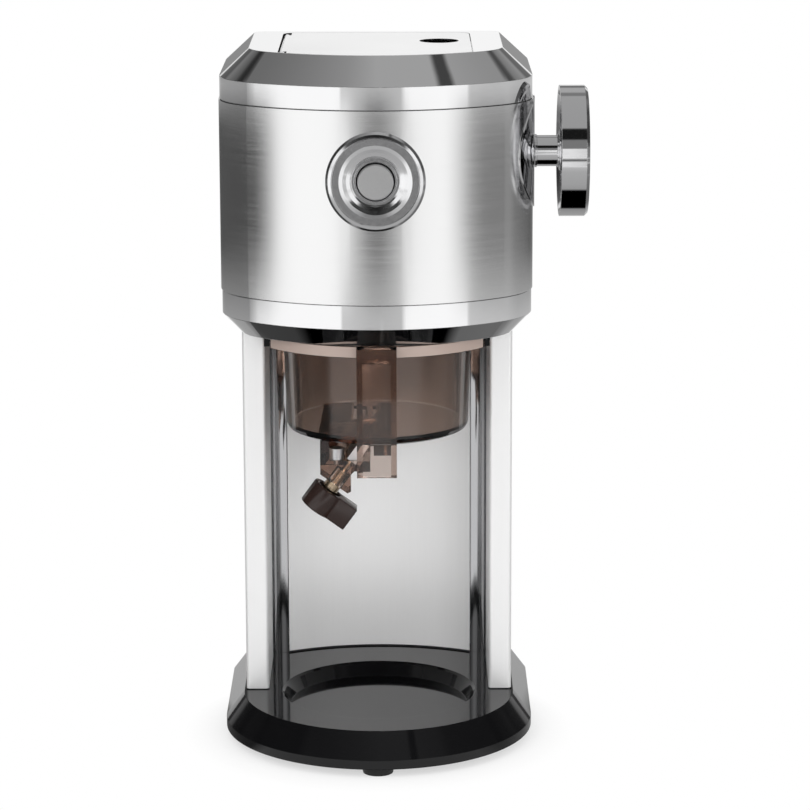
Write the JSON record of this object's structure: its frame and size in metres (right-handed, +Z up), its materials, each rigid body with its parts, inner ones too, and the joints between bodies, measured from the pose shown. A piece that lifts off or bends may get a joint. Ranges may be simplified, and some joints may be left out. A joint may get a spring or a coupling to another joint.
{
  "type": "hand crank ice crusher",
  "caption": "Free-standing ice crusher: a side crank turns a spiked presser over a blade in a hanging bowl, above a recess for a glass.",
  "frame": {"origin": "centre of the floor of the round recess, on the axis of the bowl and the presser", "axes": "+Z up along the axis of the bowl, +X to the crank side, -Y to the front with the button and the bowl handle"},
  "size_m": [0.2057, 0.1931, 0.3963],
  "materials": {
    "black_gloss": "glossy black moulded plastic",
    "rubber": "soft black rubber",
    "bright_steel": "bright turned stainless steel",
    "brushed_steel": "satin brushed stainless steel",
    "chrome": "mirror polished chrome",
    "plain_steel": "machined steel",
    "cast_alloy": "cast aluminium, as cast",
    "brass": "turned brass",
    "smoke_plastic": "clear smoke-brown moulded plastic",
    "brown_plastic": "dark brown moulded plastic"
  },
  "bodies": {
    "stand": {"base_cover": "black_gloss", "base_bottom_plate": "black_gloss", "feet": "rubber", "base_screws": "bright_steel", "left_column": "brushed_steel", "right_column": "brushed_steel", "left_corner_strip": "chrome", "right_corner_strip": "chrome", "back_panel": "brushed_steel", "rear_cover": "brushed_steel", "tie_rods": "bright_steel", "tie_nuts": "bright_steel", "head_floor": "cast_alloy", "bottom_ring": "chrome", "head_shell": "brushed_steel", "top_cover": "chrome", "hinge_pin": "bright_steel", "left_rail": "black_gloss", "right_rail": "black_gloss", "drive_frame": "cast_alloy", "sleeve_bushes": "brass", "crank_bushes": "brass", "crank_escutcheon": "chrome", "button_bezel": "chrome", "button_spring": "bright_steel"},
    "lid": {"hatch_lid": "brushed_steel"},
    "crank": {"crank_shaft": "bright_steel", "pinion": "plain_steel", "pinion_pin": "bright_steel", "crank_neck": "chrome", "handwheel": "chrome", "wheel_nut": "chrome"},
    "rotor": {"crown_wheel": "plain_steel", "drive_sleeve": "plain_steel", "sleeve_clip": "bright_steel"},
    "presser": {"spindle": "bright_steel", "spindle_keys": "plain_steel", "presser_disc": "bright_steel", "presser_spikes": "plain_steel", "presser_screw": "bright_steel", "lift_knob": "black_gloss"},
    "button": {"button_cap": "chrome", "button_plunger": "plain_steel", "brake_yoke": "plain_steel", "brake_pad": "rubber"},
    "bowl": {"bowl": "smoke_plastic", "bowl_handle": "smoke_plastic", "blade_carrier": "smoke_plastic", "carrier_screws": "bright_steel", "clamp_screw": "bright_steel"},
    "knob": {"adjust_screw": "brass", "adjust_knob": "brown_plastic"},
    "blade_block": {"blade_slide": "plain_steel", "blade": "bright_steel"}
  },
  "joints": [
    {"name": "crank_spin", "type": "hinge", "parent": "stand", "child": "crank", "pos_m": [0.09, 0, 0.3214], "axis": [1, 0, 0], "continuous": true},
    {"name": "sleeve_spin", "type": "hinge", "parent": "stand", "child": "rotor", "pos_m": [0, 0, 0.2835], "axis": [0, 0, 1], "continuous": true},
    {"name": "presser_feed", "type": "slide", "parent": "rotor", "child": "presser", "axis": [0, 0, 1], "range_m": [-0.04, 0]},
    {"name": "button_press", "type": "slide", "parent": "stand", "child": "button", "axis": [0, 1, 0], "range_m": [0, 0.003], "stiffness_N_per_m": 600, "springref_m": -0.004, "deforming": ["button_spring"]},
    {"name": "lid_hinge", "type": "hinge", "parent": "stand", "child": "lid", "pos_m": [-0.051, 0, 0.3781], "axis": [0, -1, 0], "range_deg": [0, 90]},
    {"name": "bowl_slide", "type": "slide", "parent": "stand", "child": "bowl", "axis": [0, -1, 0], "range_m": [0, 0.13]},
    {"name": "knob_turn", "type": "hinge", "parent": "bowl", "child": "knob", "pos_m": [-0.024, -0.022, 0.1368], "axis": [0.5878, 0, 0.809], "range_deg": [-435, 435]},
    {"name": "blade_feed", "type": "slide", "parent": "bowl", "child": "blade_block", "axis": [0.5878, 0, 0.809], "range_m": [-0.0012, 0.0012]}
  ],
  "couplings": [
    {"joint": "sleeve_spin", "follows": "crank_spin", "ratio": 0.5},
    {"joint": "knob_turn", "follows": "blade_feed", "rad_per_m": -6283.2}
  ]
}
